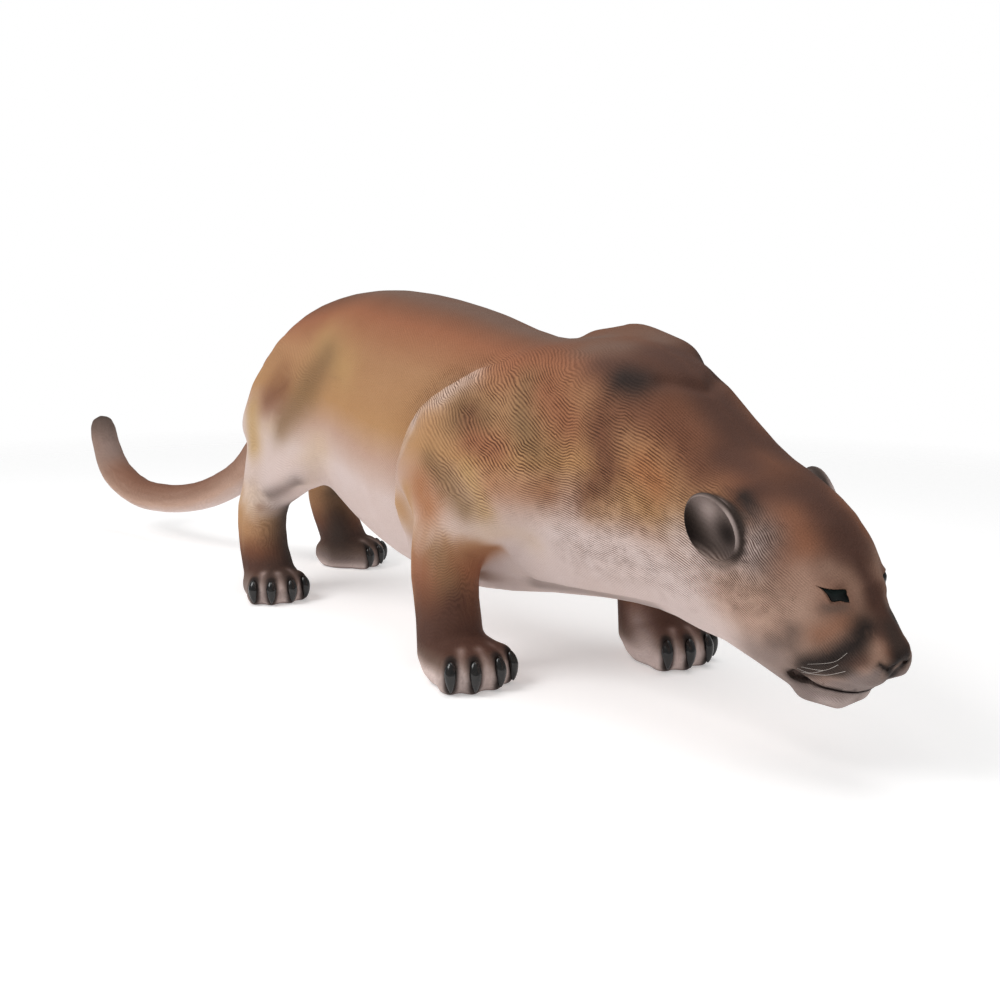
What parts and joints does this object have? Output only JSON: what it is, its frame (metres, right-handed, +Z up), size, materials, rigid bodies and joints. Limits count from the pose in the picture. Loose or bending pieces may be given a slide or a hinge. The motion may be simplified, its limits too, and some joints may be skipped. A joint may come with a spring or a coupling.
{
  "type": "cougar figure",
  "caption": "Life-size moulded and painted figure of a stalking cougar on four paws, head low, tail curled up at its tip.",
  "frame": {"origin": "centre of the bounding box at floor level, under the belly", "axes": "+X towards the nose along the body, +Y to the animal's left, +Z up"},
  "size_m": [2.0612, 0.4332, 0.5647],
  "materials": {
    "coat": "matte airbrushed paint, ochre to brown, on moulded foam",
    "pale_coat": "matte pale grey-pink paint",
    "dark_coat": "matte charcoal-brown paint",
    "ear_coat": "matte dark grey-brown paint with a pale rim",
    "eye": "gloss black",
    "claw": "gloss black"
  },
  "bodies": {
    "root": {"head": "coat", "neck": "coat", "torso_fore": "coat", "torso_rear": "coat", "tail_base": "coat", "tail_middle": "coat", "shoulder_left": "coat", "shoulder_right": "coat", "forearm_left": "coat", "forearm_right": "coat", "thigh_left": "coat", "thigh_right": "coat", "hind_foot_left": "coat", "hind_foot_right": "coat", "jaw": "pale_coat", "tail_tip": "dark_coat", "forepaw_left": "dark_coat", "forepaw_right": "dark_coat", "hind_paw_left": "dark_coat", "hind_paw_right": "dark_coat", "ear_left": "ear_coat", "eye_left": "eye", "ear_right": "ear_coat", "eye_right": "eye", "claw_fore_left_1": "claw", "claw_fore_left_2": "claw", "claw_fore_left_3": "claw", "claw_fore_left_4": "claw", "claw_fore_right_1": "claw", "claw_fore_right_2": "claw", "claw_fore_right_3": "claw", "claw_fore_right_4": "claw", "claw_hind_left_1": "claw", "claw_hind_left_2": "claw", "claw_hind_left_3": "claw", "claw_hind_left_4": "claw", "claw_hind_right_1": "claw", "claw_hind_right_2": "claw", "claw_hind_right_3": "claw", "claw_hind_right_4": "claw"}
  },
  "joints": []
}
